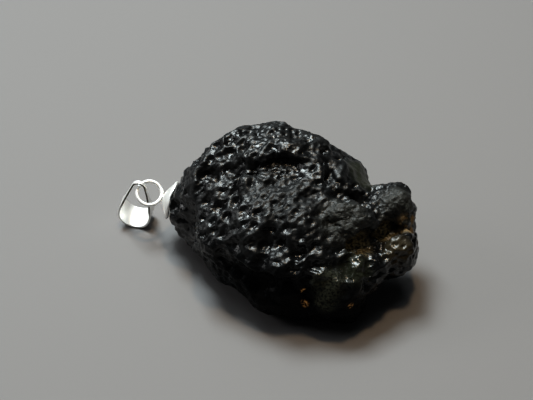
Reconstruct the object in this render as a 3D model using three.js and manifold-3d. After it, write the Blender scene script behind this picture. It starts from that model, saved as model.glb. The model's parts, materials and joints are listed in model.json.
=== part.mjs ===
// A raw tektite worn as a pendant: one lump of black natural glass, lying on a small flat spot, with a silver
// end cap over its narrow end, an eye ring whose shank goes through the cap into the stone, and a silver bail
// that swings on the ring. Millimetres, +Z up. The origin is the middle of the bottom of the bounding box.
import * as THREE from "three";
import { mergeVertices } from "three/addons/utils/BufferGeometryUtils.js";
import Module from "manifold-3d";

const wasm = await Module();
wasm.setup();

// ---------------------------------------------------------------- driving dimensions
// Places are given in the stone's own frame: its flat spot is at z = 0, and -Y is its front.

// The stone's lobes: centre, half-lengths, how square each is (2 is an ellipsoid), and turns in degrees
// about X and then Z.
const LOBES = [
  { name: "main mass", at: [-1.0, 2.2, 8.0], half: [11.4, 10.2, 7.4], square: 2.8, tilt: 14, turn: -18 },
  { name: "back rise", at: [-3.3, 8.4, 11.9], half: [6.8, 6.2, 6.7], square: 2.2, tilt: 0, turn: 0 },
  { name: "back ridge", at: [2.4, 8.0, 11.3], half: [5.6, 5.3, 5.4], square: 2, tilt: 0, turn: 0 },
  { name: "shoulder", at: [-9.2, 7.0, 9.8], half: [5.3, 5.6, 5.6], square: 2.2, tilt: 0, turn: 0 },
  { name: "left foot", at: [-11.8, 4.8, 4.9], half: [3.8, 3.4, 3.9], square: 2.2, tilt: 0, turn: 0 },
  { name: "left lip", at: [-13.8, 5.0, 6.7], half: [2.6, 2.4, 2.8], square: 2, tilt: 0, turn: 0 },
  { name: "narrow end", at: [-13.2, 7.9, 6.2], half: [3.2, 2.8, 3.1], square: 2.8, tilt: 0, turn: 0 },
  { name: "front foot", at: [0.4, -3.6, 5.4], half: [7.2, 6.2, 6.0], square: 2.5, tilt: 0, turn: 0 },
  { name: "belly", at: [-2.8, 4.6, 4.6], half: [8.2, 5.6, 5.0], square: 2.4, tilt: 0, turn: 0 },
  { name: "chin", at: [5.8, -6.4, 5.0], half: [4.4, 4.6, 5.4], square: 2.2, tilt: 0, turn: 0 },
  { name: "jowl", at: [9.2, -4.4, 6.2], half: [3.4, 3.6, 3.8], square: 2, tilt: 0, turn: 0 },
  { name: "cheek", at: [13.2, -1.2, 6.2], half: [3.6, 4.2, 3.8], square: 2.2, tilt: 0, turn: 0 },
  { name: "side", at: [13.0, 1.4, 8.0], half: [3.4, 3.0, 3.0], square: 2, tilt: 0, turn: 0 },
  { name: "horn", at: [13.0, 2.9, 11.2], half: [3.2, 3.2, 2.6], square: 2.2, tilt: 0, turn: 0 },
  { name: "ledge", at: [7.4, -1.7, 12.0], half: [3.4, 2.0, 1.5], square: 2.4, tilt: 32, turn: 0 },
  { name: "back knob", at: [7.0, 7.4, 9.5], half: [3.3, 4.1, 4.5], square: 2, tilt: 0, turn: 0 },
];
const LOBE_BLEND = 2.2; // how softly one lobe runs into the next

// The stone's larger hollows, as the ellipsoids that scoop them out.
const HOLLOWS = [
  { name: "top bowl", at: [-1.2, 2.5, 16.7], half: [2.4, 2.9, 1.9], square: 2, tilt: 0, turn: 0 },
  { name: "ridge dip", at: [0.2, 10.2, 19.9], half: [3.2, 4.6, 2.3], square: 2, tilt: 0, turn: 0 },
  { name: "second bowl", at: [-4.6, 3.3, 16.1], half: [1.1, 1.2, 1.2], square: 2, tilt: 10, turn: 0 },
  { name: "valley", at: [-7.3, 3.4, 15.3], half: [1.5, 1.3, 1.3], square: 2, tilt: 0, turn: 0 },
  { name: "valley end", at: [-10.7, 4.2, 14.5], half: [1.6, 1.1, 1.2], square: 2, tilt: 0, turn: 0 },
  { name: "centre hollow", at: [2.2, -0.6, 15.5], half: [1.2, 1.0, 1.1], square: 2, tilt: 0, turn: 0 },
  { name: "crevice", at: [4.9, 2.5, 16.4], half: [1.0, 2.6, 2.2], square: 2, tilt: 0, turn: -8 },
  { name: "deep hollow", at: [8.2, 1.4, 13.1], half: [1.2, 1.1, 1.9], square: 2, tilt: 0, turn: 0 },
  { name: "glassy bowl", at: [6.5, 0.5, 14.6], half: [1.1, 1.4, 1.2], square: 2, tilt: 0, turn: 0 },
  { name: "side cavity", at: [12.4, -1.2, 9.5], half: [2.3, 1.8, 1.4], square: 2, tilt: 0, turn: 0 },
  { name: "ledge cavity", at: [8.4, -4.4, 10.2], half: [2.6, 1.7, 1.2], square: 2, tilt: 0, turn: 0 },
  { name: "front hollow", at: [-3.3, -6.8, 12.5], half: [2.4, 1.9, 1.7], square: 2, tilt: 0, turn: 25 },
  { name: "front pit", at: [-4.4, -8.6, 6.8], half: [1.7, 1.2, 1.6], square: 2, tilt: 0, turn: 0 },
  { name: "end pit", at: [-15.9, 3.9, 9.8], half: [1.2, 1.1, 1.1], square: 2, tilt: 0, turn: 0 },
  { name: "neck notch", at: [10.4, 2.4, 14.2], half: [1.2, 3.0, 1.7], square: 2, tilt: 0, turn: 0 },
];
const HOLLOW_BLEND = 0.6; // how soft the rim of a hollow is

const LUMP_SPACING = 4.6; // the uneven swells all over the stone
const LUMP_HEIGHT = 0.7;
const KNOT_SPACING = 2.0; // the smaller swells on them
const KNOT_HEIGHT = 0.32;
const DENT_SPACING = 3.1; // the round dents all over the stone
const DENT_REACH = 0.62; // how wide a dent is, as a share of the spacing
const DENT_DEPTH = 0.62;
const STONE_FACET = 1.0; // the size of the facets that skin the stone
const FOLD_GAP = 0.04; // how far apart two folds of the skin that meet are drawn
const SHORTEST_EDGE = 0.01; // slivers that the cuts leave are collapsed to this
const STONE_REACH = [
  [-20, -15, -3],
  [19, 17, 21],
]; // a box round the stone

const CAP_AT = [-16.5, 8.42, 6.4]; // the middle of the end cap's rim
const CAP_OUT = [-0.955, 0.199, 0.221]; // the way that the cap and the shank point, out of the stone
const CAP_RADIUS = 2.45;
const CAP_HEIGHT = 1.1;
const CAP_WALL = 0.3;
const CAP_HOLE = 0.5; // radius of the hole that the shank goes through
const CAP_SWEEP = 1.3; // how far the bell's side is drawn in: 1 is a straight cone
const BEAD_RADIUS = 0.24; // the bead along the cap's rim

const RING_OUT = 3.06; // from the middle of the cap's rim to the middle of the ring
const RING_RADIUS = 1.7; // to the middle of the wire
const WIRE_RADIUS = 0.27;
const RING_ROLL = 18; // degrees that the ring is rolled about the shank, from facing up and forward
const RING_FACES = [0, -0.743, 0.669]; // the way that the ring would face unrolled
const SHANK_RADIUS = 0.34;
const SHANK_DEPTH = 4.2; // how far the shank goes past the cap's rim into the stone
const SOLDER_RADIUS = 0.43; // the joint between the ring and its shank
const SOLDER_HEIGHT = 0.5;
const SEAT_GAP = 0.3; // between the silver and the stone
const HOLE_GAP = 0.12; // round the shank in the stone
const SEAT_FLARE = 6; // how far out the stone is cleared beside the cap, at 45 degrees

const CAP_SIDES = 30;
const BELL_STEPS = 5;
const BEAD_SIDES = 6;
const RING_STEPS = 40;
const WIRE_SIDES = 10;
const SHANK_SIDES = 16;

const BAIL_ON_RING = 16; // degrees round the ring from the shank's line to where the bail hangs
const BAIL_DOWN = [-0.15, 0.206, -0.967]; // the way that the bail hangs, from its eye to its fold
const BAIL_YAW = 10; // degrees that the bail's opening is turned away from the front
const BAIL_REACH = 7.53; // from the middle of the eye to the outside of the fold
const BAIL_FOLD = 2.33; // outer radius of the wide fold
const BAIL_EYE = 0.7; // inner radius of the narrow end, where the ring goes through
const BAIL_SHEET = 0.3;
const BAIL_WIDTHS = [
  [-1.2, 0.54],
  [1.2, 0.58],
  [3.2, 1.05],
  [4.6, 2.1],
  [5.6, 3.2],
  [6.6, 3.5],
  [8.2, 3.5],
]; // distance from the middle of the eye towards the fold, and the strip's width there
const HOOP_STEPS = 22;
const STRIP_STEPS = 18;

// ---------------------------------------------------------------- solids and geometries

function solidOf(geometry) {
  const bare = geometry.clone();
  bare.deleteAttribute("normal");
  bare.deleteAttribute("uv");
  const merged = mergeVertices(bare, 1e-4);
  return new wasm.Manifold(
    new wasm.Mesh({
      numProp: 3,
      vertProperties: new Float32Array(merged.attributes.position.array),
      triVerts: new Uint32Array(merged.index.array),
    }),
  );
}

function geometryOf(solid) {
  const { vertProperties, triVerts } = solid.getMesh();
  return new THREE.BufferGeometry()
    .setAttribute("position", new THREE.BufferAttribute(vertProperties, 3))
    .setIndex(new THREE.BufferAttribute(triVerts, 1));
}

// A turned solid about +Z from [radius, height] points, listed with the material on their left.
function turned(profile, sides) {
  return new THREE.LatheGeometry(
    profile.map(([r, z]) => new THREE.Vector2(r, z)),
    sides,
  ).rotateX(Math.PI / 2);
}

// ---------------------------------------------------------------- the stone's form

// A repeatable number from 0 to 1 for a point of the whole-number lattice.
function chance(i, j, k, seed) {
  let h = Math.imul(i, 374761393) ^ Math.imul(j, 668265263);
  h ^= Math.imul(k, 1442695041) ^ Math.imul(seed, 1274126177);
  h = Math.imul(h ^ (h >>> 13), 1103515245);
  h = Math.imul(h ^ (h >>> 16), 2246822519);
  return ((h ^ (h >>> 15)) >>> 0) / 4294967296;
}

// Smooth noise from -1 to 1, whose swells are about one unit apart.
function swell(x, y, z, seed) {
  const [i, j, k] = [Math.floor(x), Math.floor(y), Math.floor(z)];
  const [u, v, w] = [x - i, y - j, z - k].map((t) => t * t * t * (t * (t * 6 - 15) + 10));
  let sum = 0;
  for (let corner = 0; corner < 8; corner++) {
    const [a, b, c] = [corner & 1, (corner >> 1) & 1, corner >> 2];
    sum += (a ? u : 1 - u) * (b ? v : 1 - v) * (c ? w : 1 - w) * chance(i + a, j + b, k + c, seed);
  }
  return sum * 2 - 1;
}

// Distance to the nearest of the scattered points, one in each unit cell.
function scatter(x, y, z, seed) {
  const [i, j, k] = [Math.floor(x), Math.floor(y), Math.floor(z)];
  let nearest = 9;
  for (let a = i - 1; a <= i + 1; a++)
    for (let b = j - 1; b <= j + 1; b++)
      for (let c = k - 1; c <= k + 1; c++) {
        const dx = a + chance(a, b, c, seed) - x;
        const dy = b + chance(a, b, c, seed + 1) - y;
        const dz = c + chance(a, b, c, seed + 2) - z;
        nearest = Math.min(nearest, dx * dx + dy * dy + dz * dz);
      }
  return Math.sqrt(nearest);
}

// About how far a point is outside a lobe or a hollow.
function outside(x, y, z, { at, half, square, tilt, turn }) {
  const [ct, st] = [Math.cos(THREE.MathUtils.degToRad(turn)), Math.sin(THREE.MathUtils.degToRad(turn))];
  const [cx, sx] = [Math.cos(THREE.MathUtils.degToRad(tilt)), Math.sin(THREE.MathUtils.degToRad(tilt))];
  const [dx, dy, dz] = [x - at[0], y - at[1], z - at[2]];
  const [px, qy] = [ct * dx + st * dy, ct * dy - st * dx];
  const [py, pz] = [cx * qy + sx * dz, cx * dz - sx * qy];
  const parts = [px / half[0], py / half[1], pz / half[2]].map(Math.abs);
  const reach = parts.reduce((sum, p) => sum + p ** square, 1e-9) ** (1 / square);
  const slope = Math.hypot(...parts.map((p, axis) => (p / reach) ** (square - 1) / half[axis]));
  return (reach - 1) / Math.max(slope, 0.02);
}

function blendedMin(a, b, softness) {
  const h = Math.max(softness - Math.abs(a - b), 0) / softness;
  return Math.min(a, b) - (h * h * softness) / 4;
}

// Below 0 inside the stone, above 0 outside it, and about a distance in between.
function stoneField(x, y, z) {
  let field = LOBES.map((lobe) => outside(x, y, z, lobe)).reduce((a, b) => blendedMin(a, b, LOBE_BLEND));
  field += LUMP_HEIGHT * swell(x / LUMP_SPACING, y / LUMP_SPACING, z / LUMP_SPACING, 11);
  field += KNOT_HEIGHT * swell(x / KNOT_SPACING, y / KNOT_SPACING, z / KNOT_SPACING, 23);
  const toDent = scatter(x / DENT_SPACING, y / DENT_SPACING, z / DENT_SPACING, 37);
  field += DENT_DEPTH * Math.max(0, 1 - (toDent / DENT_REACH) ** 2);
  for (const hollow of HOLLOWS) field = -blendedMin(-field, outside(x, y, z, hollow), HOLLOW_BLEND);
  return field;
}

// The skin of a field where it is 0: one vertex in each cell that it crosses, and one quad round each edge
// of the grid that it crosses.
function skinOf(field, [low, high], cell) {
  const count = low.map((v, axis) => Math.ceil((high[axis] - v) / cell) + 1);
  const stride = [1, count[0], count[0] * count[1]];
  const value = new Float64Array(stride[2] * count[2]);
  const place = (i, j, k) => [low[0] + i * cell, low[1] + j * cell, low[2] + k * cell];
  for (let k = 0, n = 0; k < count[2]; k++)
    for (let j = 0; j < count[1]; j++)
      for (let i = 0; i < count[0]; i++) value[n++] = field(...place(i, j, k));

  const positions = [];
  const vertexOf = new Map();
  for (let k = 0; k < count[2] - 1; k++)
    for (let j = 0; j < count[1] - 1; j++)
      for (let i = 0; i < count[0] - 1; i++) {
        const base = i + j * stride[1] + k * stride[2];
        const sum = [0, 0, 0];
        let crossings = 0;
        for (let axis = 0; axis < 3; axis++)
          for (let side = 0; side < 4; side++) {
            const start = [0, 0, 0];
            start[(axis + 1) % 3] = side & 1;
            start[(axis + 2) % 3] = side >> 1;
            const from = base + start[0] + start[1] * stride[1] + start[2] * stride[2];
            const [f, g] = [value[from], value[from + stride[axis]]];
            if (f < 0 === g < 0) continue;
            start[axis] = f / (f - g);
            start.forEach((share, m) => (sum[m] += share));
            crossings++;
          }
        if (!crossings) continue;
        vertexOf.set(base, positions.length / 3);
        positions.push(...place(i + sum[0] / crossings, j + sum[1] / crossings, k + sum[2] / crossings));
      }

  const triangles = [];
  for (const base of vertexOf.keys())
    for (let axis = 0; axis < 3; axis++) {
      const [f, g] = [value[base], value[base + stride[axis]]];
      if (f < 0 === g < 0) continue;
      const [b, c] = [stride[(axis + 1) % 3], stride[(axis + 2) % 3]];
      const quad = [base, base - b, base - b - c, base - c].map((cellAt) => vertexOf.get(cellAt));
      const [p, q, r, s] = f < 0 ? quad : quad.reverse();
      triangles.push(p, q, r, p, r, s);
    }
  return new THREE.BufferGeometry()
    .setAttribute("position", new THREE.Float32BufferAttribute(positions, 3))
    .setIndex(triangles);
}

// Moves each vertex of a skin onto its field's surface.
function settled(skin, field, furthest) {
  const spots = skin.attributes.position;
  const step = 0.02;
  for (let n = 0; n < spots.count; n++)
    for (let pass = 0; pass < 2; pass++) {
      const [x, y, z] = [spots.getX(n), spots.getY(n), spots.getZ(n)];
      const slope = [
        (field(x + step, y, z) - field(x - step, y, z)) / (2 * step),
        (field(x, y + step, z) - field(x, y - step, z)) / (2 * step),
        (field(x, y, z + step) - field(x, y, z - step)) / (2 * step),
      ];
      const steepness = Math.max(0.3, slope[0] ** 2 + slope[1] ** 2 + slope[2] ** 2);
      const move = THREE.MathUtils.clamp(field(x, y, z) / steepness, -furthest, furthest);
      spots.setXYZ(n, x - move * slope[0], y - move * slope[1], z - move * slope[2]);
    }
  return skin;
}

// Where two folds of a skin touch along an edge, draws each fold back into its own side, so that they part.
function parted(geometry, by) {
  geometry.computeVertexNormals();
  const { position, normal } = geometry.attributes;
  const sharing = new Map();
  for (let n = 0; n < position.count; n++) {
    const spot = [position.getX(n), position.getY(n), position.getZ(n)].map((v) => v.toFixed(3)).join();
    sharing.set(spot, [...(sharing.get(spot) ?? []), n]);
  }
  for (const folds of sharing.values())
    if (folds.length > 1)
      for (const n of folds)
        position.setXYZ(
          n,
          position.getX(n) - by * normal.getX(n),
          position.getY(n) - by * normal.getY(n),
          position.getZ(n) - by * normal.getZ(n),
        );
  geometry.deleteAttribute("normal");
  return geometry;
}

// ---------------------------------------------------------------- the silver's own frame
// Its origin is the middle of the cap's rim, +Z is out of the stone, and +X is the way that the ring faces.

const fittingOut = new THREE.Vector3(...CAP_OUT).normalize();
const ringAxis = new THREE.Vector3(...RING_FACES)
  .projectOnPlane(fittingOut)
  .normalize()
  .applyAxisAngle(fittingOut, THREE.MathUtils.degToRad(RING_ROLL));
const fittingFrame = new THREE.Matrix4()
  .makeBasis(ringAxis, fittingOut.clone().cross(ringAxis), fittingOut)
  .setPosition(...CAP_AT);

// The bell's outer height above the rim at a radius.
function bellHeight(radius) {
  const share = (radius - CAP_HOLE) / (CAP_RADIUS - CAP_HOLE);
  return CAP_HEIGHT * (1 - THREE.MathUtils.clamp(share, 0, 1) ** CAP_SWEEP);
}

function endCap() {
  const radii = Array.from(
    { length: BELL_STEPS + 1 },
    (_, n) => CAP_HOLE + ((CAP_RADIUS - CAP_HOLE) * n) / BELL_STEPS,
  );
  const under = radii.map((r) => [r, bellHeight(r) - CAP_WALL]);
  const over = radii.map((r) => [r, bellHeight(r)]).reverse();
  const bell = solidOf(turned([...under, ...over, under[0]], CAP_SIDES));
  const bead = new THREE.TorusGeometry(CAP_RADIUS, BEAD_RADIUS, BEAD_SIDES, CAP_SIDES);
  return bell.add(solidOf(bead.translate(0, 0, -CAP_WALL / 2)));
}

function eyeRing() {
  const ring = new THREE.TorusGeometry(RING_RADIUS, WIRE_RADIUS, WIRE_SIDES, RING_STEPS);
  ring.rotateY(Math.PI / 2).translate(0, 0, RING_OUT);
  const ringBottom = RING_OUT - RING_RADIUS;
  const shank = turned(
    [
      [0, -SHANK_DEPTH],
      [SHANK_RADIUS, -SHANK_DEPTH],
      [SHANK_RADIUS, ringBottom - SOLDER_HEIGHT],
      [SOLDER_RADIUS, ringBottom - WIRE_RADIUS / 2],
      [0, ringBottom],
    ],
    SHANK_SIDES,
  );
  return solidOf(ring).add(solidOf(shank));
}

// What is cut from the stone to seat the cap over its narrow end, and the shank's hole.
function seatAndHole() {
  const flat = -CAP_WALL / 2 - BEAD_RADIUS - SEAT_GAP;
  const edge = CAP_RADIUS - BEAD_RADIUS - SEAT_GAP;
  const far = CAP_RADIUS + BEAD_RADIUS + SEAT_GAP;
  const seat = turned(
    [
      [0, bellHeight(0) - CAP_WALL - SEAT_GAP],
      [edge, flat],
      [far, flat],
      [far + SEAT_FLARE, flat + SEAT_FLARE],
      [0, flat + SEAT_FLARE],
    ],
    CAP_SIDES,
  );
  const hole = turned(
    [
      [0, -SHANK_DEPTH - SEAT_GAP],
      [SHANK_RADIUS + HOLE_GAP, -SHANK_DEPTH - SEAT_GAP],
      [SHANK_RADIUS + HOLE_GAP, CAP_HEIGHT],
      [0, CAP_HEIGHT],
    ],
    SHANK_SIDES,
  );
  return solidOf(seat).add(solidOf(hole));
}

// ---------------------------------------------------------------- the bail

const bailAngle = THREE.MathUtils.degToRad(BAIL_ON_RING);
const bailPivot = new THREE.Vector3(
  0,
  RING_RADIUS * Math.sin(bailAngle),
  RING_OUT + RING_RADIUS * Math.cos(bailAngle),
).applyMatrix4(fittingFrame);
const bailDown = new THREE.Vector3(...BAIL_DOWN).normalize();
const yaw = THREE.MathUtils.degToRad(BAIL_YAW);
const bailFacing = new THREE.Vector3(-Math.sin(yaw), -Math.cos(yaw), 0).projectOnPlane(bailDown).normalize();
// +X across the hoop, +Y from the eye to the fold, +Z the way that the opening faces.
const bailFrame = new THREE.Matrix4()
  .makeBasis(bailDown.clone().cross(bailFacing), bailDown, bailFacing)
  .setPosition(bailPivot);

function bail() {
  const between = BAIL_REACH - BAIL_FOLD;
  // a teardrop round two circles: the small one about the eye, the large one inside the fold
  const loop = (path, small, large) => {
    const lean = Math.asin((large - small) / between);
    path.absarc(0, between, large, -lean, Math.PI + lean, false);
    path.absarc(0, 0, small, Math.PI + lean, Math.PI * 2 - lean, false);
    path.closePath();
    return path;
  };
  const outline = loop(new THREE.Shape(), BAIL_EYE + BAIL_SHEET, BAIL_FOLD);
  outline.holes.push(loop(new THREE.Path(), BAIL_EYE, BAIL_FOLD - BAIL_SHEET));
  const widest = Math.max(...BAIL_WIDTHS.map(([, width]) => width)) + 1;
  const hoop = new THREE.ExtrudeGeometry(outline, {
    depth: widest,
    bevelEnabled: false,
    curveSegments: HOOP_STEPS,
  });
  hoop.translate(0, 0, -widest / 2);

  // the strip's width along the hoop, as a flat shape drawn in Y and Z and pushed through the hoop along X
  const corners = BAIL_WIDTHS.map(([along, width]) => new THREE.Vector2(along, width / 2));
  const edge = new THREE.SplineCurve(corners);
  const side = edge.getPoints(STRIP_STEPS);
  const leaf = new THREE.Shape([...side, ...side.map((p) => new THREE.Vector2(p.x, -p.y)).reverse()]);
  const through = 2 * BAIL_FOLD + 1;
  const strip = new THREE.ExtrudeGeometry(leaf, { depth: through, bevelEnabled: false });
  strip.translate(0, 0, -through / 2);
  strip.rotateX(Math.PI / 2).rotateZ(Math.PI / 2);
  return solidOf(hoop).intersect(solidOf(strip));
}

// ---------------------------------------------------------------- the parts

const placed = (solid, frame) => solid.transform(frame.toArray());

function tektite() {
  const skin = settled(skinOf(stoneField, STONE_REACH, STONE_FACET), stoneField, STONE_FACET / 2);
  const cut = solidOf(skin)
    .subtract(placed(seatAndHole(), fittingFrame))
    .trimByPlane([0, 0, 1], 0);
  // crumbs that the cuts leave are dropped: the stone is the largest body
  return cut.simplify(SHORTEST_EDGE).decompose().sort((a, b) => b.volume() - a.volume())[0];
}

const glass = { color: 0x0b0c0d, roughness: 0.3, metalness: 0 };
const silver = { color: 0xd9d9d6, roughness: 0.2, metalness: 1 };
const parts = [
  { name: "tektite", geometry: parted(geometryOf(tektite()), FOLD_GAP), finish: glass },
  { name: "end_cap", geometry: geometryOf(placed(endCap(), fittingFrame)), finish: silver },
  { name: "eye_ring", geometry: geometryOf(placed(eyeRing(), fittingFrame)), finish: silver },
  { name: "bail", geometry: geometryOf(placed(bail(), bailFrame)), finish: silver },
];

const pendant = new THREE.Group();
for (const { name, geometry, finish } of parts) {
  const mesh = new THREE.Mesh(geometry, new THREE.MeshStandardMaterial(finish));
  mesh.name = name;
  pendant.add(mesh);
}
const bounds = new THREE.Box3().setFromObject(pendant);
const middle = bounds.getCenter(new THREE.Vector3());
pendant.position.set(-middle.x, -middle.y, -bounds.min.z);
// the bail swings about the ring's own wire where it hangs
const ringTangent = new THREE.Vector3(0, Math.cos(bailAngle), -Math.sin(bailAngle));
pendant.userData.hinge = {
  pivot: bailPivot.clone().add(pendant.position).toArray(),
  axis: ringTangent.transformDirection(fittingFrame).toArray(),
};

export default pendant;
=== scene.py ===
"""A black tektite pendant with a silver end cap, eye ring and bail, made for close views. Metres, +Z up."""

import json
import math

import bmesh
import bpy
from mathutils import Matrix, Vector


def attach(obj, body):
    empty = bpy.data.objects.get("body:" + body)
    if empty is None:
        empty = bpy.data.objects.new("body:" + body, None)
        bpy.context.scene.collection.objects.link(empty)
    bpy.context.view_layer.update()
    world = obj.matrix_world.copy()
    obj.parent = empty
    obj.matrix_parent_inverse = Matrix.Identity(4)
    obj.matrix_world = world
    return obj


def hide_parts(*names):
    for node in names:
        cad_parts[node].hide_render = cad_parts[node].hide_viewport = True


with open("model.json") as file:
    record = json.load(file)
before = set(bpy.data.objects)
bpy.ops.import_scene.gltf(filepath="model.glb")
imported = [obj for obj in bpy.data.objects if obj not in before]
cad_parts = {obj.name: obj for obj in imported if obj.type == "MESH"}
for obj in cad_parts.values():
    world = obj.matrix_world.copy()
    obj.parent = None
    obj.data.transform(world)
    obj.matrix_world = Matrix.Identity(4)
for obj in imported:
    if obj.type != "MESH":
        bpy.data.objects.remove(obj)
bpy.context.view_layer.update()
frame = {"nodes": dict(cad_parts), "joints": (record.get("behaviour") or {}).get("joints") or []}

MM = 0.001

# ---------------------------------------------------------------- sizes of the stone, in millimetres

WELD = 0.002  # points of the solid that are nearer than this are one
STONE_VOXEL = 0.13  # how fine the stone's skin is
STONE_FACES = 190000  # how many triangles are kept of it
# Passes of smoothing that take the facets off it, and then bring its swells back.
FACETS_OFF = {"factor": 0.5, "iterations": 16}
SWELLS_BACK = {"factor": -0.51, "iterations": 15}
SKIN_OUT = 0.2  # how far the skin is drawn out before the hollows are pressed in

# The hollows scattered over the skin, from coarse to fine.
CUPS = {"Spacing": 2.1, "Least radius": 0.55, "Most radius": 1.2, "Depth": 0.68, "Seed": 3}
PITS = {"Spacing": 1.0, "Least radius": 0.3, "Most radius": 0.6, "Depth": 0.22, "Seed": 11}
PRICKS = {"Spacing": 0.6, "Least radius": 0.18, "Most radius": 0.3, "Depth": 0.04, "Seed": 23}
CROWDED = 1e8  # points to a square metre, so many that only the spacing thins them out
RIM_SOFTNESS = 1.6  # 1 is a sharp rim, and 2 a very soft one
# Larger cups along the crest and on the narrow end: place, radius and depth.
CREST_CUPS = [
    ((-11.6, 2.7, 8.6), 1.5, 0.5), ((-8.4, -2.2, 10.6), 0.75, 0.4), ((-6.0, -4.4, 11.2), 0.75, 0.4),
    ((-2.3, -5.6, 13.4), 0.7, 0.35), ((-3.1, -6.7, 11.7), 0.6, 0.35), ((-1.3, -7.4, 12.1), 0.75, 0.4),
    ((-3.6, -7.5, 10.2), 0.6, 0.35), ((0.6, -6.9, 12.6), 0.7, 0.35), ((0.3, -8.9, 10.5), 0.9, 0.4),
    ((4.1, -10.0, 10.7), 0.8, 0.35), ((-7.4, -1.8, 11.8), 0.7, 0.3), ((-2.3, 1.2, 15.2), 0.7, 0.35),
]
# Grooves between the lobes of the front: from, to, radius and depth.
GROOVES = [
    ((6.0, -9.9, 10.4), (5.8, -11.3, 5.8), 1.3, 0.75),
    ((10.4, -9.2, 10.0), (10.6, -12.0, 7.8), 1.1, 0.7),
    ((13.5, -8.5, 9.4), (13.5, -10.8, 7.4), 1.2, 0.7),
    ((-5.4, -7.2, 8.4), (-1.6, -9.6, 7.8), 2.0, 0.9),
    ((-1.6, -9.6, 7.8), (3.4, -10.9, 8.0), 2.0, 0.9),
]

# The skin's uneven patterns. A level is where a pattern neither raises nor sinks the skin.
DEEP_PATCHES = {"Scale": 0.22, "Detail": 1.0}  # where the hollows are deeper
LUMPS = {"Scale": 1 / 1.5, "Detail": 2.0}  # about 1.5 mm apart
LUMP_HEIGHT = 0.2
LUMP_LEVEL = 0.55
WRINKLES = {"Scale": 1 / 0.5, "Detail": 1.0}  # about 0.5 mm apart
WRINKLE_HEIGHT = 0.12
WRINKLE_LEVEL = 0.5
SAND = {"Scale": 2.6, "Detail": 2.0}
SAND_HEIGHT = 0.52
SAND_LEVEL = 0.5
FLOW = (0.8, 0.6, 0.0)  # the way that the wrinkles and the longer side of the pits run
WRINKLE_FLOW = 0.28  # a wrinkle's width to its length
PIT_FLOW = 0.72  # a pit's width to its length

# Zones of the stone: centre, and the distance at which each has faded out.
ZONE_CORE = 0.35  # the share of that distance within which a zone is full
FILL_ZONES = [  # the foot of the bowl's back wall, which is raised
    ((-2.4, 1.2, 14.7), 2.4), ((0.0, 1.2, 14.8), 2.6), ((2.4, 1.6, 15.0), 2.4),
]
FILL_HEIGHT = 0.7
SATIN_ZONES = [((3.6, -3.2, 15.0), 5.4), ((0.2, -1.6, 14.8), 3.6)]  # the middle of the top
FINE_ZONES = [  # small pits, few cups
    ((2.4, 2.4, 15.2), 3.8), ((-1.4, 3.0, 15.6), 2.2), ((0.6, 7.6, 17.6), 5.2),
    ((17.4, -6.2, 9.4), 3.0), ((16.0, 0.8, 13.2), 2.8),
]
SMOOTH_ZONES = [  # the chin, the low front, the knob, the narrow end, the horn and the ledge
    ((9.6, -9.6, 6.0), 6.0), ((0.5, -8.2, 12.2), 2.0), ((0.5, -10.5, 5.0), 7.0),
    ((12.6, 4.8, 13.0), 3.4), ((9.6, 3.0, 15.2), 2.4), ((-7.6, -6.2, 3.0), 5.0),
    ((-11.5, 2.7, 8.4), 2.2), ((17.9, -0.4, 12.4), 3.4), ((10.4, -5.2, 13.3), 4.0),
]
FROSTED_ZONES = [((17.8, -0.8, 12.2), 4.0), ((10.2, -5.0, 13.4), 4.4)]  # the horn and the ledge
SOIL_ZONES = [((19.2, -1.8, 10.0), 2.2)]  # the outer wall of the side hollow
OLIVE_ZONES = [  # thin olive glass
    ((13.2, 4.4, 13.0), 3.4), ((11.8, -9.4, 9.4), 3.0), ((18.8, -1.2, 11.4), 2.0),
]
BROWN_ZONES = [  # thin brown glass
    ((16.2, -2.6, 9.6), 3.0), ((17.4, -6.2, 9.4), 2.8), ((12.0, -5.4, 9.8), 2.8),
]
HOLLOW_PAINTED_LIGHT_ZONES = [((12.2, -5.8, 9.8), 2.6), ((16.0, -2.6, 9.2), 2.2)]  # painted light: shaded hollows made lighter in colour and given a glow, as for light coming through thin glass
CHIN_OLIVE_AND_PAINTED_LIGHT_ZONES = [((8.3, -11.4, 8.6), 2.8), ((7.8, -12.2, 6.4), 2.6)]  # the chin's thin olive glass, made lighter and given a glow as painted light
PAINTED_GLINT_ZONES = [  # painted glints: small warm spots that glow at the low front
    ((5.1, -10.8, 7.0), 0.6), ((5.4, -11.3, 4.9), 0.7), ((11.2, -12.2, 5.4), 0.6),
]

# How a zone changes what it covers, as a share of it.
SMOOTH_HOLLOWS = -0.78
FINE_CUPS = -0.7
FINE_PITS = 0.4
SATIN_CUPS = -0.8
SATIN_WRINKLES = 1.2

# Ramps: the input's low and high, and what is given at each.
PATCH_DEPTHS = (0.4, 0.58, 0.7, 1.05)  # the share of their depth that the hollows have
ABOVE_TABLE = (0.0, 0.5, 0.0, 1.0)  # the skin is left plain at the table
CAP_CLEAR = (3.4, 5.0, 0.0, 1.0)  # and round the cap

# ---------------------------------------------------------------- sizes of the silver fitting, in millimetres

CAP_AT = (-12.655, 6.801, 6.4)  # the middle of the end cap's rim
CAP_OUT = (-0.955, 0.199, 0.221)  # the way that the cap and the shank point, out of the stone
CAP_RADIUS = 2.45  # to the middle of its bead
CAP_HEIGHT = 1.1  # above its rim
CAP_WALL = 0.3
CAP_HOLE = 0.5
CAP_SWEEP = 1.3  # 1 is a cone, and 2 a full bell
CAP_SIDES = 96
CAP_STEPS = 14
BEAD_RADIUS = 0.24
BEAD_OVERLAP = 0.8  # the share of the bead's radius at which the bell runs into it
BEAD_TURN = (135, -150, 16)  # from and to, in degrees, and steps
HOLE_TURN = (250, 110, 6)  # the same, for the rounded edge of the hole

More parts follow.
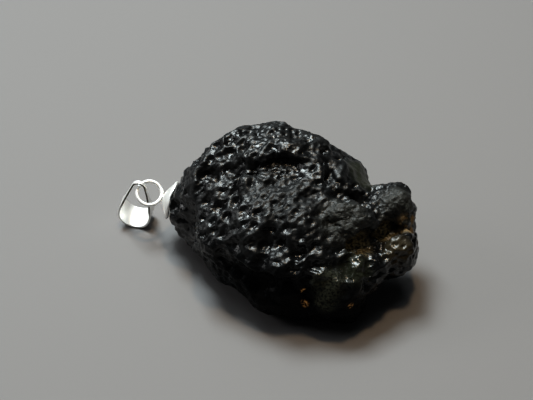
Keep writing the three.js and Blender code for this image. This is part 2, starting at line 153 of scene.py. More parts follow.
RING_OUT = 3.06  # from the middle of the cap's rim to the middle of the ring
RING_RADIUS = 1.7
RING_FACES = (0, -0.743, 0.669)  # the way that the ring faces before it is rolled
RING_ROLL = 18  # degrees about the way out of the stone
RING_STEPS = 96
WIRE_RADIUS = 0.27
WIRE_STEPS = 20
SHANK_RADIUS = 0.34
SHANK_DEPTH = 4.2  # below the cap's rim
SHANK_SIDES = 32
SOLDER_RADIUS = 0.43
SOLDER_HEIGHT = 0.5
SOLDER_SOFT = {"factor": 0.5, "iterations": 10}
RING_VOXEL = 0.045

BAIL_PIVOT = frame["joints"][0]["pos_m"]  # metres
BAIL_DOWN = (-0.15, 0.206, -0.967)  # the way that the bail hangs, from its eye to its fold
BAIL_YAW = 10  # degrees
BAIL_REACH = 7.53  # from the middle of its eye to the far side of its fold
BAIL_FOLD = 2.33  # the fold's outer radius
BAIL_EYE = 0.7  # the eye's inner radius
BAIL_SHEET = 0.3
BAIL_EDGE = 0.1  # the radius of the sheet's rounded edges
# How wide the strip is: the distance from the eye, and the width there.
BAIL_WIDTHS = [(-1.2, 0.54), (1.2, 0.58), (3.2, 1.05), (4.6, 2.1), (5.6, 3.2), (6.6, 3.5), (8.2, 3.5)]
FOLD_STEPS = 48
EYE_STEPS = 20
ARM_STEPS = 20
EDGE_STEPS = 4
SIDEWAYS = 0.6  # a face that points sideways by more than this is on the strip's edge

# ---------------------------------------------------------------- values of the finishes

BLACK = (0.0, 0.0, 0.0)
BLACK_GLASS = (0.0055, 0.0058, 0.0062)
OLIVE_GLASS = (0.02, 0.0215, 0.0145)
BROWN_GLASS = (0.042, 0.034, 0.021)
# Painted light: the brown glass of the shaded hollows under the ledge and the horn, made lighter.
PAINTED_LIGHT_BROWN_GLASS = (0.16, 0.13, 0.075)
# Partly the chin's own olive glass, partly painted light: lighter than the glass round it.
CHIN_OLIVE_AND_PAINTED_LIGHT_GLASS = (0.045, 0.047, 0.034)
FROSTED_GLASS = (0.034, 0.035, 0.032)
SOIL = (0.24, 0.165, 0.08)
# Painted light, put in as light of the glass's own: a glow in the shaded hollows and on the chin, as for
# light coming through thin glass, and painted glints at the low front.
PAINTED_GLOW_LIGHT = (0.015, 0.0115, 0.0055)
CHIN_PAINTED_GLOW = (0.0014, 0.0016, 0.0011)
# Painted glints: small warm spots that glow.
PAINTED_GLINT_LIGHT = (0.13, 0.068, 0.024)

GLASS_IOR = 1.51
GLASS_PATCHES = {"Scale": 0.8, "Detail": 4.0}
GLASS_GRAIN = {"Scale": 6.5, "Detail": 5.0}
GLASS_FLECKS = {"Scale": 3.2, "Detail": 5.0, "Roughness": 0.65}
GLASS_PRICKS = {"Spacing": 0.36, "Reach": 0.55}
# Ramps: the input's low and high, and what is given at each.
FROST_FLECKS = (0.3, 0.62, 0.35, 1.0)
SOIL_PATCHES = (0.42, 0.55, 0.0, 1.0)
HOLLOW_PAINTED_LIGHT_FLECKS = (0.4, 0.62, 0.0, 1.0)
CHIN_FLECKS = (0.38, 0.6, 0.1, 1.0)
PAINTED_GLINT_FLECKS = (0.47, 0.6, 0.0, 1.0)
PATCH_ROUGHNESS = (0.35, 0.7, 0.34, 0.48)
# What gloss takes off the roughness: below a height, and in the hollows.
LOW_GLOSS = (9.0, 12.0, 0.18, 0.0)
HOLLOW_GLOSS = (0.05, 0.25, 0.0, 0.13)
# What satin, frost and soil add to it.
SATIN_ROUGHNESS = 0.1
FROST_ROUGHNESS = 0.12
SOIL_ROUGHNESS = 0.45
LOW_FRONT = (-0.25, -0.75, -0.6)  # the way to the stone's low front, whose shine is turned down as painted shade
PAINTED_SHADE_SHINE = (-1.5, 2.5, 0.46, 0.03)  # the glass's shine along that way
# How wear and frost change the shine, as a share of it.
WORN_SHINE = -0.35
FROSTED_SHINE = -0.1
GRAIN_RELIEF = 0.6
FLECK_RELIEF = 1.6
FROSTED_RELIEF = 4.4  # added to the flecks' relief where the glass is frosted
GLASS_BUMP = {"Strength": 0.55, "Distance": 0.035 * MM}

SILVER = (0.96, 0.955, 0.94)
WARM_TARNISH = (0.7, 0.65, 0.57)
# Painted shade on the bail's edges near its eye.
PAINTED_EDGE_SHADE = (0.09, 0.075, 0.055)
EDGE_SHADE_REACH = 6.0  # painted shade: the bail's edges are dark out to this distance from its eye
EDGE_CORE = 0.7  # and darkest within this share of it
SILVER_CLOUDS = {"Scale": 0.9, "Detail": 3.0}
SCRATCH_DRAW = (3.0, 14.0, 3.0)  # the scratches are finest along Y, and drawn out across it
SCRATCHES = {"Scale": 1.0, "Detail": 4.0}
CLOUD_TARNISH = (0.55, 0.8, 0.0, 0.25)
SCRATCH_ROUGHNESS = (0.35, 0.7, 0.55, 0.7)
SILVER_BUMP = {"Strength": 0.2, "Distance": 0.01 * MM}

# ---------------------------------------------------------------- values of the floor, light and camera

FLOOR_HALF = 3.0  # metres
FLOOR_GREY = (0.195, 0.187, 0.187, 1)
FLOOR_ROUGHNESS = 0.75
ROOM_COLOUR = (0.75, 0.78, 0.82, 1)
ROOM_LIGHT = 0.025
LIGHT_AIM = (0, 0, 9)
# Square area lights: name, place and width in millimetres, power in watts and colour.
LIGHTS = [
    ("key", (-90, 170, 400), 150, 2.2, (0.85, 0.95, 0.97)),
    ("sky", (-80, 180, 500), 560, 0.9, (0.88, 0.96, 0.97)),
    ("lamp", (25, 45, 430), 40, 0.45, (1.0, 0.72, 0.44)),
    ("left", (-430, 60, 260), 160, 0.32, (1.0, 1.0, 1.0)),
]

CAMERA_AIM = (0.52, 0.83, 11.73)
CAMERA_RISE = 42  # degrees above the horizon
CAMERA_AWAY = 165
CAMERA_LENS = 85
CAMERA_NEAR = 0.01  # metres


# ---------------------------------------------------------------- node helpers

def put(tree, kind, values=(), **settings):
    """Adds a node, with its inputs given by name or place as numbers, vectors or sockets."""
    node = tree.nodes.new(kind)
    for name, value in settings.items():
        setattr(node, name, value)
    for key, value in dict(values).items():
        if isinstance(value, bpy.types.NodeSocket):
            tree.links.new(value, node.inputs[key])
        else:
            node.inputs[key].default_value = value
    return node


def number(tree, operation, *values):
    """A step of arithmetic on numbers or sockets."""
    return put(tree, "ShaderNodeMath", enumerate(values), operation=operation).outputs[0]


def vector(tree, operation, *values):
    """A step on vectors or sockets; SCALE takes a vector and a number."""
    keys = (0, "Scale") if operation == "SCALE" else range(len(values))
    node = put(tree, "ShaderNodeVectorMath", zip(keys, values), operation=operation)
    return node.outputs["Value" if operation in ("DISTANCE", "DOT_PRODUCT") else "Vector"]


def noise(tree, spot, values):
    return put(tree, "ShaderNodeTexNoise", {"Vector": spot, **values}).outputs[0]


def height_of(tree, spot):
    return put(tree, "ShaderNodeSeparateXYZ", {0: spot}).outputs["Z"]


def ramp(tree, value, low, high, start=0.0, end=1.0):
    """A value from start to end as the input goes from low to high, eased at both ends."""
    values = {"Value": value, "From Min": low, "From Max": high, "To Min": start, "To Max": end}
    return put(tree, "ShaderNodeMapRange", values, interpolation_type="SMOOTHSTEP").outputs["Result"]


def changed(tree, value, mask, share):
    """The value, changed by a share of itself where the mask is 1."""
    return number(tree, "MULTIPLY", value, number(tree, "MULTIPLY_ADD", mask, share, 1.0))


def added(tree, value, mask, amount):
    """The value, with an amount added where the mask is 1."""
    return number(tree, "ADD", value, number(tree, "MULTIPLY", mask, amount))


def zone(tree, spot, zones):
    """1 in the middle of any of the zones, fading to 0 at its edge; spot is in millimetres."""
    total = None
    for centre, reach in zones:
        near = ramp(tree, vector(tree, "DISTANCE", spot, centre), reach * ZONE_CORE, reach, 1.0, 0.0)
        total = near if total is None else number(tree, "MAXIMUM", total, near)
    return total


def along_flow(tree, spot, share):
    """The spot, pressed together along the flow, so that a pattern on it is drawn out that way."""
    way = Vector(FLOW).normalized()
    along = vector(tree, "DOT_PRODUCT", spot, way)
    return vector(tree, "SUBTRACT", spot, vector(tree, "SCALE", way * (1 - share), along))


def bowl(tree, away, radius):
    """1 in the middle of a round hollow, falling to 0 at its soft rim."""
    share = number(tree, "DIVIDE", away, radius)
    deep = number(tree, "MAXIMUM", 0.0, number(tree, "SUBTRACT", 1.0, number(tree, "POWER", share, 2.0)))
    return number(tree, "POWER", deep, RIM_SOFTNESS)


def from_line(tree, spot, start, end):
    """The distance from a spot to the line between two places."""
    line = Vector(end) - Vector(start)
    offset = vector(tree, "SUBTRACT", spot, start)
    share = vector(tree, "DOT_PRODUCT", offset, line / line.length_squared)
    share = number(tree, "MINIMUM", 1.0, number(tree, "MAXIMUM", 0.0, share))
    return vector(tree, "DISTANCE", offset, vector(tree, "SCALE", line, share))


def group_sockets(tree, inputs, outputs):
    for name, kind in inputs:
        tree.interface.new_socket(name, in_out="INPUT", socket_type=kind)
    for name, kind in outputs:
        tree.interface.new_socket(name, in_out="OUTPUT", socket_type=kind)
    return tree.nodes.new("NodeGroupInput"), tree.nodes.new("NodeGroupOutput")


def pricks_group():
    """Fine round pricks for a bump; it puts out how deep each spot is, from 0 to about 1."""
    tree = bpy.data.node_groups.new("fine pricks", "ShaderNodeTree")
    given, out = group_sockets(
        tree,
        [("Spot", "NodeSocketVector"), ("Spacing", "NodeSocketFloat"), ("Reach", "NodeSocketFloat")],
        [("Depth", "NodeSocketFloat")],
    )
    spot = vector(tree, "SCALE", given.outputs["Spot"], number(tree, "DIVIDE", 1.0, given.outputs["Spacing"]))
    cells = put(tree, "ShaderNodeTexVoronoi", {"Vector": spot, "Scale": 1.0})
    tree.links.new(bowl(tree, cells.outputs["Distance"], given.outputs["Reach"]), out.inputs["Depth"])
    return tree


# ---------------------------------------------------------------- the stone's skin

def pits_group():
    """Pits scattered over a surface, none too near another; it puts out how deep each spot is."""
    tree = bpy.data.node_groups.new("scattered pits", "GeometryNodeTree")
    scalar = "NodeSocketFloat"
    given, out = group_sockets(
        tree,
        [("Surface", "NodeSocketGeometry"), ("Spacing", scalar), ("Least radius", scalar),
         ("Most radius", scalar), ("Depth", scalar), ("Seed", "NodeSocketInt")],
        [("Depth", scalar)],
    )
    scatter = put(tree, "GeometryNodeDistributePointsOnFaces", {
        "Mesh": given.outputs["Surface"], "Seed": given.outputs["Seed"], "Density Max": CROWDED,
        "Distance Min": number(tree, "MULTIPLY", given.outputs["Spacing"], MM)}, distribute_method="POISSON")
    middles = scatter.outputs["Points"]
    place = tree.nodes.new("GeometryNodeInputPosition").outputs[0]
    nearest = put(tree, "GeometryNodeSampleNearest", {
        "Geometry": middles, "Sample Position": place}).outputs[0]

    def of_nearest(value, kind):
        values = {"Geometry": middles, "Index": nearest, "Value": value}
        return put(tree, "GeometryNodeSampleIndex", values, data_type=kind).outputs[0]

    draw = put(tree, "FunctionNodeRandomValue", data_type="FLOAT").outputs[1]
    size = put(tree, "ShaderNodeMapRange", {
        "Value": of_nearest(draw, "FLOAT"), "To Min": given.outputs["Least radius"],
        "To Max": given.outputs["Most radius"]}).outputs[0]
    offset = vector(tree, "SUBTRACT", place, of_nearest(place, "FLOAT_VECTOR"))
    away = vector(tree, "DISTANCE", along_flow(tree, offset, PIT_FLOW), (0, 0, 0))
    relative = number(tree, "DIVIDE", size, given.outputs["Most radius"])
    deep = number(tree, "MULTIPLY", bowl(tree, number(tree, "DIVIDE", away, MM), size), relative)
    deep = number(tree, "MULTIPLY", deep, given.outputs["Depth"])
    tree.links.new(deep, out.inputs["Depth"])
    return tree


def hollows_of(tree, spot, cups, pits, pricks):
    """How deep the skin is pressed in at each spot, in millimetres."""
    fine = zone(tree, spot, FINE_ZONES)
    cups = changed(tree, cups, fine, FINE_CUPS)
    cups = changed(tree, cups, zone(tree, spot, SATIN_ZONES), SATIN_CUPS)
    pits = changed(tree, pits, fine, FINE_PITS)
    deeper = ramp(tree, noise(tree, spot, DEEP_PATCHES), *PATCH_DEPTHS)
    deeper = changed(tree, deeper, zone(tree, spot, SMOOTH_ZONES), SMOOTH_HOLLOWS)
    hollow = number(tree, "ADD", cups, number(tree, "ADD", pits, pricks))
    hollow = number(tree, "MULTIPLY", hollow, deeper)
    for centre, radius, depth in CREST_CUPS:
        cup = bowl(tree, vector(tree, "DISTANCE", spot, centre), radius)
        hollow = number(tree, "MAXIMUM", hollow, number(tree, "MULTIPLY", cup, depth))
    return hollow


def grooves_of(tree, spot):
    """How deep the grooves are at each spot, in millimetres."""
    total = None
    for start, end, radius, depth in GROOVES:
        near = ramp(tree, from_line(tree, spot, start, end), 0.0, radius, 1.0, 0.0)
        groove = number(tree, "MULTIPLY", near, depth)
        total = groove if total is None else number(tree, "MAXIMUM", total, groove)
    return total


def swells_of(tree, spot, lump_height, wrinkle_height):
    """How far lumps, wrinkles and sand raise the skin at each spot, in millimetres."""
    lump = number(tree, "SUBTRACT", noise(tree, spot, LUMPS), LUMP_LEVEL)
    lump = number(tree, "MULTIPLY", lump, lump_height)
    lines = noise(tree, along_flow(tree, spot, WRINKLE_FLOW), WRINKLES)
    wrinkle = number(tree, "SUBTRACT", lines, WRINKLE_LEVEL)
    wrinkle = number(tree, "MULTIPLY", wrinkle, wrinkle_height)
    wrinkle = changed(tree, wrinkle, zone(tree, spot, SATIN_ZONES), SATIN_WRINKLES)
    sand = number(tree, "SUBTRACT", noise(tree, spot, SAND), SAND_LEVEL)
    sand = number(tree, "MULTIPLY", sand, zone(tree, spot, FROSTED_ZONES))
    return number(tree, "ADD", lump, added(tree, wrinkle, sand, SAND_HEIGHT))


def skin_tree():
    """Presses cups, pits and grooves into a smooth stone and raises low lumps and wrinkles on it."""
    tree = bpy.data.node_groups.new("tektite skin", "GeometryNodeTree")
    shape = "NodeSocketGeometry"
    scalar = "NodeSocketFloat"
    given, out = group_sockets(
        tree,
        [("Geometry", shape), ("Cup depth", scalar), ("Pit depth", scalar), ("Prick depth", scalar),
         ("Lump height", scalar), ("Wrinkle height", scalar), ("Material", "NodeSocketMaterial")],
        [("Geometry", shape)],
    )
    spot = vector(tree, "SCALE", tree.nodes.new("GeometryNodeInputPosition").outputs[0], 1 / MM)
    scattered = pits_group()

    def layer(sizes, depth):
        values = {**sizes, "Surface": given.outputs["Geometry"], "Depth": given.outputs[depth]}
        return put(tree, "GeometryNodeGroup", values, node_tree=scattered).outputs["Depth"]

    cups, pits, pricks = layer(CUPS, "Cup depth"), layer(PITS, "Pit depth"), layer(PRICKS, "Prick depth")
    hollow = hollows_of(tree, spot, cups, pits, pricks)
    swell = swells_of(tree, spot, given.outputs["Lump height"], given.outputs["Wrinkle height"])
    rise = number(tree, "ADD", number(tree, "SUBTRACT", swell, hollow), SKIN_OUT)
    rise = number(tree, "SUBTRACT", rise, grooves_of(tree, spot))
    rise = added(tree, rise, zone(tree, spot, FILL_ZONES), FILL_HEIGHT)

    clear = ramp(tree, vector(tree, "DISTANCE", spot, CAP_AT), *CAP_CLEAR)
    above = ramp(tree, height_of(tree, spot), *ABOVE_TABLE)
    rise = number(tree, "MULTIPLY", rise, number(tree, "MULTIPLY", clear, above))
    normal = tree.nodes.new("GeometryNodeInputNormal").outputs[0]
    offset = vector(tree, "SCALE", normal, number(tree, "MULTIPLY", rise, MM))

    stored = put(tree, "GeometryNodeStoreNamedAttribute",
                 {"Geometry": given.outputs["Geometry"], "Name": "hollow", "Value": hollow},
                 data_type="FLOAT", domain="POINT")
    moved = put(tree, "GeometryNodeSetPosition", {"Geometry": stored.outputs[0], "Offset": offset})
    real = put(tree, "GeometryNodeRealizeInstances", {"Geometry": moved.outputs[0]})
    coated = put(tree, "GeometryNodeSetMaterial",
                 {"Geometry": real.outputs[0], "Material": given.outputs["Material"]})
    tree.links.new(coated.outputs[0], out.inputs["Geometry"])
    return tree


def evaluated(piece, name):
    """A new piece whose plain mesh is what the piece's modifiers make; the piece itself is removed."""
    bpy.context.view_layer.update()
    seen = piece.evaluated_get(bpy.context.evaluated_depsgraph_get())
    mesh = bpy.data.meshes.new_from_object(seen)
    mesh.name = name
    made = bpy.data.objects.new(name, mesh)
    bpy.context.scene.collection.objects.link(made)
    bpy.data.objects.remove(piece)
    return made


def smooth_out(piece, name, values):
    smooth = piece.modifiers.new(name, "SMOOTH")
    smooth.factor = values["factor"]
    smooth.iterations = values["iterations"]


def voxel_skin(piece, name, size):
    remesh = piece.modifiers.new(name, "REMESH")
    remesh.mode = "VOXEL"
    remesh.voxel_size = size * MM


def make_stone(glass):
    """A fine copy of the CAD stone, with its skin."""
    stone = bpy.data.objects.new("stone blank", frame["nodes"]["tektite"].data.copy())
    bpy.context.scene.collection.objects.link(stone)
    welded = bmesh.new()
    welded.from_mesh(stone.data)
    bmesh.ops.remove_doubles(welded, verts=welded.verts, dist=WELD * MM)
    bmesh.ops.recalc_face_normals(welded, faces=welded.faces)
    welded.to_mesh(stone.data)
    welded.free()
    stone.data.materials.clear()

    voxel_skin(stone, "fine skin", STONE_VOXEL)
    smooth_out(stone, "facets off", FACETS_OFF)
    smooth_out(stone, "swells back", SWELLS_BACK)
    skin = stone.modifiers.new("skin", "NODES")
    skin.node_group = skin_tree()
    values = {"Cup depth": CUPS["Depth"], "Pit depth": PITS["Depth"], "Prick depth": PRICKS["Depth"],
              "Lump height": LUMP_HEIGHT, "Wrinkle height": WRINKLE_HEIGHT, "Material": glass}
    for item in skin.node_group.interface.items_tree:
        if item.in_out == "INPUT" and item.name in values:
            skin[item.identifier] = values[item.name]
    stone = evaluated(stone, "fine stone")
    thin = stone.modifiers.new("fewer faces", "DECIMATE")
    thin.ratio = min(1.0, STONE_FACES / (2 * len(stone.data.polygons)))
    stone = evaluated(stone, "tektite_stone")
    for vertex in stone.data.vertices:  # nothing reaches below the table
        vertex.co.z = max(vertex.co.z, 0.0)
    stone.data.shade_smooth()
    return stone


# ---------------------------------------------------------------- the silver fitting

def fitting_frame():
    """Origin in the middle of the cap's rim, +Z out of the stone and +X the way that the ring faces."""
    out = Vector(CAP_OUT).normalized()
    faces = Vector(RING_FACES)
    faces = (faces - out * faces.dot(out)).normalized()
    faces = Matrix.Rotation(math.radians(RING_ROLL), 3, out) @ faces
    turn = Matrix((faces, out.cross(faces), out)).transposed()
    return Matrix.Translation(Vector(CAP_AT) * MM) @ turn.to_4x4() @ Matrix.Scale(MM, 4)


def bail_frame():
    """Origin on the ring's wire in the bail's eye, +Y to its fold and +Z the way that its opening faces."""
    down = Vector(BAIL_DOWN).normalized()
    yaw = math.radians(BAIL_YAW)
    faces = Vector((-math.sin(yaw), -math.cos(yaw), 0))
    faces = (faces - down * faces.dot(down)).normalized()
    turn = Matrix((down.cross(faces), down, faces)).transposed()
    return Matrix.Translation(Vector(BAIL_PIVOT)) @ turn.to_4x4() @ Matrix.Scale(MM, 4)


def piece_of(name, build, place, material):
    """A new piece from a bmesh that build fills in millimetres, put in its place."""
    shape = bmesh.new()
    build(shape)
    bmesh.ops.recalc_face_normals(shape, faces=shape.faces)
    bmesh.ops.transform(shape, matrix=place, verts=shape.verts)
    mesh = bpy.data.meshes.new(name)
    shape.to_mesh(mesh)
    shape.free()
    mesh.materials.append(material)
    mesh.shade_smooth()
    made = bpy.data.objects.new(name, mesh)
    bpy.context.scene.collection.objects.link(made)
    return made


def loft(shape, rings, closed):
    """Joins rings of points by quads; closed joins the last ring to the first."""
    rows = [[shape.verts.new(point) for point in ring] for ring in rings]
    count = len(rows[0])
    for n in range(len(rows) if closed else len(rows) - 1):
        this, following = rows[n], rows[(n + 1) % len(rows)]
        for m in range(count):
            far = (m + 1) % count
            shape.faces.new((this[m], this[far], following[far], following[m]))
    return rows


def turned(shape, profile, sides):
    """A ring-shaped solid about Z from a closed profile of (radius, height) points."""
    rings = []
    for n in range(sides):
        angle = math.tau * n / sides
        rings.append([(r * math.cos(angle), r * math.sin(angle), z) for r, z in profile])
    loft(shape, rings, closed=True)


def bell_height(radius):
    """The height of the cap's outer face above its rim."""
    share = (radius - CAP_HOLE) / (CAP_RADIUS - CAP_HOLE)
    return CAP_HEIGHT * (1 - max(share, 0) ** CAP_SWEEP)


def arc(centre, radius, start, end, steps):
    """Points on an arc in a plane, with its angles in degrees."""
    for n in range(steps + 1):
        angle = math.radians(start + (end - start) * n / steps)
        yield centre[0] + radius * math.cos(angle), centre[1] + radius * math.sin(angle)


def build_cap(shape):
    """A bell with a beaded rim and a hole in its middle, as one turned profile."""
    lip = CAP_WALL / 2
    inner_edge = CAP_RADIUS - BEAD_RADIUS * BEAD_OVERLAP
    span = inner_edge - CAP_HOLE - lip
    radii = [CAP_HOLE + lip + span * n / CAP_STEPS for n in range(CAP_STEPS + 1)]
    over = [(r, bell_height(r)) for r in radii]
    under = [(r, bell_height(r) - CAP_WALL) for r in reversed(radii)]
    bead = arc((CAP_RADIUS, -CAP_WALL / 2), BEAD_RADIUS, *BEAD_TURN)
    hole = arc((CAP_HOLE + lip, bell_height(CAP_HOLE + lip) - lip), lip, *HOLE_TURN)
    turned(shape, [*over, *bead, *under, *hole], CAP_SIDES)


def circle(radius, height, sides):
    """Points round Z at a height."""
    angles = [math.tau * n / sides for n in range(sides)]
    return [(radius * math.cos(angle), radius * math.sin(angle), height) for angle in angles]


def build_ring(shape):
    """The round wire ring, and its shank with a swell of solder."""
    rings = []
    for n in range(RING_STEPS):
        angle = math.tau * n / RING_STEPS
        out = Vector((0, math.sin(angle), math.cos(angle)))
        middle = Vector((0, 0, RING_OUT)) + out * RING_RADIUS
        rings.append([middle + out * x + Vector((y, 0, 0)) for x, y, _ in circle(WIRE_RADIUS, 0, WIRE_STEPS)])
    loft(shape, rings, closed=True)
    bottom = RING_OUT - RING_RADIUS
    profile = [(SHANK_RADIUS, -SHANK_DEPTH), (SHANK_RADIUS, bottom - SOLDER_HEIGHT),
               (SOLDER_RADIUS, bottom - WIRE_RADIUS / 2), (SOLDER_RADIUS / 2, bottom)]
    rows = loft(shape, [circle(r, z, SHANK_SIDES) for r, z in profile], closed=False)
    shape.faces.new(reversed(rows[0]))
    shape.faces.new(rows[-1])


def make_ring(silver):
    """The ring and its shank as one skin, drawn together at the soldered joint."""
    ring = piece_of("eye_ring_parts", build_ring, fitting_frame(), silver)
    voxel_skin(ring, "one skin", RING_VOXEL)
    smooth_out(ring, "solder", SOLDER_SOFT)
    ring = evaluated(ring, "eye_ring_silver")
    ring.data.materials.clear()
    ring.data.materials.append(silver)
    ring.data.shade_smooth()
    return ring


def strip_width(along):
    """The bail's width at a distance from its eye, eased between the places in BAIL_WIDTHS."""
    for (start, low), (end, high) in zip(BAIL_WIDTHS, BAIL_WIDTHS[1:]):
        if along <= end:
            share = max(0.0, (along - start) / (end - start))
            share = share * share * (3 - 2 * share)
            return low + (high - low) * share
    return BAIL_WIDTHS[-1][1]


def heading(angle):
    return Vector((math.cos(angle), math.sin(angle), 0))


def bail_path():
    """Spots round the middle of the bail's sheet, each with the way out: fold, arm, eye and arm."""
    between = BAIL_REACH - BAIL_FOLD
    small, large = BAIL_EYE + BAIL_SHEET / 2, BAIL_FOLD - BAIL_SHEET / 2
    lean = math.asin((large - small) / between)
    fold_middle = Vector((0, between, 0))
    path = []
    for n in range(FOLD_STEPS + 1):
        out = heading(-lean + (math.pi + 2 * lean) * n / FOLD_STEPS)
        path.append((fold_middle + out * large, out))
    out = heading(math.pi + lean)
    for n in range(1, ARM_STEPS + 1):
        path.append(((fold_middle + out * large).lerp(out * small, n / ARM_STEPS), out))
    for n in range(1, EYE_STEPS):
        out = heading(math.pi + lean + (math.pi - 2 * lean) * n / EYE_STEPS)
        path.append((out * small, out))
    out = heading(math.tau - lean)
    for n in range(ARM_STEPS):
        path.append(((out * small).lerp(fold_middle + out * large, n / ARM_STEPS), out))
    return path


def build_bail(shape):
    """A teardrop hoop of sheet with rounded edges; the faces on its edges have the second material, which
    paints shade on them near the eye.
    """
    rings = []
    for middle, out in bail_path():
        half, sheet = strip_width(middle.y) / 2, BAIL_SHEET / 2
        ring = []
        for across, up, start in ((1, 1, 0), (-1, 1, 90), (-1, -1, 180), (1, -1, 270)):
            corner = ((half - BAIL_EDGE) * across, (sheet - BAIL_EDGE) * up)
            for x, z in arc(corner, BAIL_EDGE, start, start + 90, EDGE_STEPS):
                ring.append(middle + out * z + Vector((0, 0, x)))
        rings.append(ring)
    loft(shape, rings, closed=True)
    shape.normal_update()
    for face in shape.faces:
        face.material_index = int(abs(face.normal.z) > SIDEWAYS)


# ---------------------------------------------------------------- finishes

def new_material(name):
    material = bpy.data.materials.new(name)
    material.use_nodes = True
    tree = material.node_tree
    surface = tree.nodes["Principled BSDF"]
    place = tree.nodes.new("ShaderNodeTexCoord").outputs["Object"]
    return material, tree, surface, vector(tree, "SCALE", place, 1 / MM)


def blend_colours(tree, share, first, second):
    """The first colour where the share is 0, and the second where it is 1."""
    values = {0: share}
    for key, colour in ((6, first), (7, second)):
        values[key] = colour if isinstance(colour, bpy.types.NodeSocket) else (*colour, 1)
    return put(tree, "ShaderNodeMix", values, data_type="RGBA").outputs[2]


def bumps(tree, surface, height, values):
    bump = put(tree, "ShaderNodeBump", {**values, "Height": height})
    tree.links.new(bump.outputs[0], surface.inputs["Normal"])


def glass_colours(tree, surface, spot, flecks, frost, soil):
    """Black, olive and brown where it is thin; frost and soil lie over it. Painted light: the shaded hollows
    and the chin are lightened and glow, and painted glints glow at the low front.
    """
    # Painted light: the shaded hollows are lightened and glow.
    glow = number(tree, "MULTIPLY", zone(tree, spot, HOLLOW_PAINTED_LIGHT_ZONES), ramp(tree, flecks, *HOLLOW_PAINTED_LIGHT_FLECKS))
    # The chin: olive glass, lightened and glowing as painted light.
    chin = number(tree, "MULTIPLY", zone(tree, spot, CHIN_OLIVE_AND_PAINTED_LIGHT_ZONES), ramp(tree, flecks, *CHIN_FLECKS))
    # Painted glints: small warm glowing spots at the low front.
    painted_glints = number(tree, "MULTIPLY", zone(tree, spot, PAINTED_GLINT_ZONES), ramp(tree, flecks, *PAINTED_GLINT_FLECKS))
    colour = blend_colours(tree, zone(tree, spot, OLIVE_ZONES), BLACK_GLASS, OLIVE_GLASS)
    colour = blend_colours(tree, zone(tree, spot, BROWN_ZONES), colour, BROWN_GLASS)
    colour = blend_colours(tree, glow, colour, PAINTED_LIGHT_BROWN_GLASS)
    colour = blend_colours(tree, chin, colour, CHIN_OLIVE_AND_PAINTED_LIGHT_GLASS)
    colour = blend_colours(tree, frost, colour, FROSTED_GLASS)
    colour = blend_colours(tree, soil, colour, SOIL)
    tree.links.new(colour, surface.inputs["Base Color"])
    light = blend_colours(tree, glow, BLACK, PAINTED_GLOW_LIGHT)
    light = blend_colours(tree, chin, light, CHIN_PAINTED_GLOW)
    light = blend_colours(tree, painted_glints, light, PAINTED_GLINT_LIGHT)
    tree.links.new(light, surface.inputs["Emission Color"])
    surface.inputs["Emission Strength"].default_value = 1.0


def glass_roughness(tree, surface, spot, patches, satin, frost, soil):
    """Satin in patches and higher up, glossy in the hollows, and dull where it is frosted or soiled."""
    hollow = put(tree, "ShaderNodeAttribute", attribute_name="hollow").outputs["Fac"]
    rough = added(tree, ramp(tree, patches, *PATCH_ROUGHNESS), satin, SATIN_ROUGHNESS)
    rough = number(tree, "SUBTRACT", rough, ramp(tree, height_of(tree, spot), *LOW_GLOSS))
    rough = number(tree, "SUBTRACT", rough, ramp(tree, hollow, *HOLLOW_GLOSS))
    rough = added(tree, rough, frost, FROST_ROUGHNESS)
    rough = added(tree, rough, soil, SOIL_ROUGHNESS)
    tree.links.new(rough, surface.inputs["Roughness"])


def black_glass():
    """Natural black glass: glossy, satin in patches, frosted on its horn and ledge, with its shine turned
    down at its low front as painted shade.
    """
    material, tree, surface, spot = new_material("black natural glass")
    patches = noise(tree, spot, GLASS_PATCHES)
    grain = noise(tree, spot, GLASS_GRAIN)
    flecks = noise(tree, spot, GLASS_FLECKS)
    satin = zone(tree, spot, SATIN_ZONES)
    frosted = zone(tree, spot, FROSTED_ZONES)
    frost = number(tree, "MULTIPLY", frosted, ramp(tree, flecks, *FROST_FLECKS))
    soil = number(tree, "MULTIPLY", zone(tree, spot, SOIL_ZONES), ramp(tree, patches, *SOIL_PATCHES))
    glass_colours(tree, surface, spot, flecks, frost, soil)
    glass_roughness(tree, surface, spot, patches, satin, frost, soil)

    surface.inputs["IOR"].default_value = GLASS_IOR
    # Painted shade: the shine is turned down at the low front so that it stays dark.
    shine = ramp(tree, vector(tree, "DOT_PRODUCT", spot, LOW_FRONT), *PAINTED_SHADE_SHINE)
    shine = changed(tree, shine, number(tree, "MAXIMUM", satin, frost), WORN_SHINE)
    shine = changed(tree, shine, frosted, FROSTED_SHINE)
    tree.links.new(shine, surface.inputs["Specular IOR Level"])

    pricks = put(tree, "ShaderNodeGroup", {"Spot": spot, **GLASS_PRICKS}, node_tree=pricks_group())
    relief = number(tree, "MULTIPLY_ADD", frosted, FROSTED_RELIEF, FLECK_RELIEF)
    grainy = number(tree, "MULTIPLY_ADD", grain, GRAIN_RELIEF, number(tree, "MULTIPLY", flecks, relief))
    bumps(tree, surface, number(tree, "SUBTRACT", grainy, pricks.outputs["Depth"]), GLASS_BUMP)
    return material


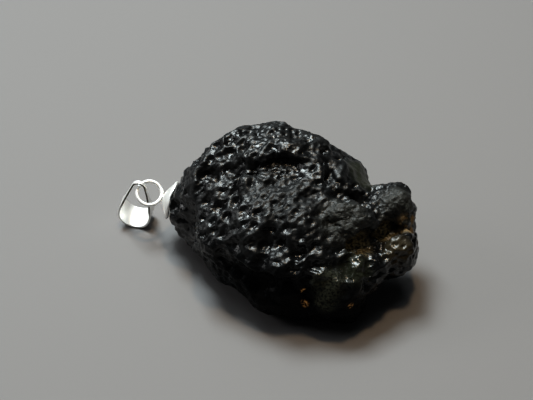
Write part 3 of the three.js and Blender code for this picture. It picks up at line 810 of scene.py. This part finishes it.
def worn_silver(name, shade_reach):
    """Dull scratched silver with a faint warm tarnish; given a reach, it is painted dark, as shade, out to
    that distance from the bail's eye.
    """
    material, tree, surface, spot = new_material(name)
    surface.inputs["Metallic"].default_value = 1.0
    tarnish = ramp(tree, noise(tree, spot, SILVER_CLOUDS), *CLOUD_TARNISH)
    colour = blend_colours(tree, tarnish, SILVER, WARM_TARNISH)
    if shade_reach:
        # Painted shade: dark near the bail's eye.
        away = vector(tree, "DISTANCE", spot, Vector(BAIL_PIVOT) / MM)
        near = ramp(tree, away, shade_reach * EDGE_CORE, shade_reach, 1.0, 0.0)
        colour = blend_colours(tree, near, colour, PAINTED_EDGE_SHADE)
    tree.links.new(colour, surface.inputs["Base Color"])
    scratches = noise(tree, vector(tree, "MULTIPLY", spot, SCRATCH_DRAW), SCRATCHES)
    tree.links.new(ramp(tree, scratches, *SCRATCH_ROUGHNESS), surface.inputs["Roughness"])
    bumps(tree, surface, scratches, SILVER_BUMP)
    return material


def pale_floor():
    material, _, surface, _ = new_material("pale floor")
    surface.inputs["Base Color"].default_value = FLOOR_GREY
    surface.inputs["Roughness"].default_value = FLOOR_ROUGHNESS
    return material


# ---------------------------------------------------------------- floor, light and camera

def make_floor():
    corners = [(x * FLOOR_HALF, y * FLOOR_HALF, 0) for x, y in ((-1, -1), (1, -1), (1, 1), (-1, 1))]
    mesh = bpy.data.meshes.new("floor")
    mesh.from_pydata(corners, [], [(0, 1, 2, 3)])
    mesh.materials.append(pale_floor())
    floor = bpy.data.objects.new("floor", mesh)
    bpy.context.scene.collection.objects.link(floor)
    return floor


def soft_light(name, place, size, power, colour):
    light = bpy.data.lights.new(name, "AREA")
    light.size = size * MM
    light.energy = power
    light.color = colour
    lamp = bpy.data.objects.new(name, light)
    lamp.location = Vector(place) * MM
    lamp.rotation_euler = (Vector(LIGHT_AIM) - Vector(place)).to_track_quat("-Z", "Y").to_euler()
    bpy.context.scene.collection.objects.link(lamp)


def light_room():
    world = bpy.data.worlds.new("studio")
    bpy.context.scene.world = world
    world.use_nodes = True
    world.node_tree.nodes["Background"].inputs["Color"].default_value = ROOM_COLOUR
    world.node_tree.nodes["Background"].inputs["Strength"].default_value = ROOM_LIGHT


def set_camera():
    rise = math.radians(CAMERA_RISE)
    back = Vector((0, -math.cos(rise), math.sin(rise)))
    view = bpy.data.cameras.new("camera")
    view.lens = CAMERA_LENS
    view.clip_start = CAMERA_NEAR
    camera = bpy.data.objects.new("camera", view)
    camera.location = (Vector(CAMERA_AIM) + back * CAMERA_AWAY) * MM
    camera.rotation_euler = (-back).to_track_quat("-Z", "Y").to_euler()
    bpy.context.scene.collection.objects.link(camera)
    bpy.context.scene.camera = camera


# ---------------------------------------------------------------- the pieces

glass = black_glass()
silver = worn_silver("polished silver", 0)
# The bail's edges get silver with painted shade near its eye.
painted_shade_edge = worn_silver("silver with painted edge shade", EDGE_SHADE_REACH)
stone = make_stone(glass)
cap = piece_of("end_cap_silver", build_cap, fitting_frame(), silver)
ring = make_ring(silver)
bail = piece_of("bail_silver", build_bail, bail_frame(), silver)
bail.data.materials.append(painted_shade_edge)

for piece, body, node, slot in (
    (stone, "pendant", "tektite", "natural_glass"),
    (cap, "pendant", "end_cap", "silver"),
    (ring, "pendant", "eye_ring", "silver"),
    (bail, "bail_strip", "bail", "silver"),
):
    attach(piece, body)
    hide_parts(node)

# ---------------------------------------------------------------- the room

floor = make_floor()
for values in LIGHTS:
    soft_light(*values)
light_room()
set_camera()
bpy.context.scene.view_settings.view_transform = "Standard"
bpy.context.scene.view_settings.look = "Medium High Contrast"
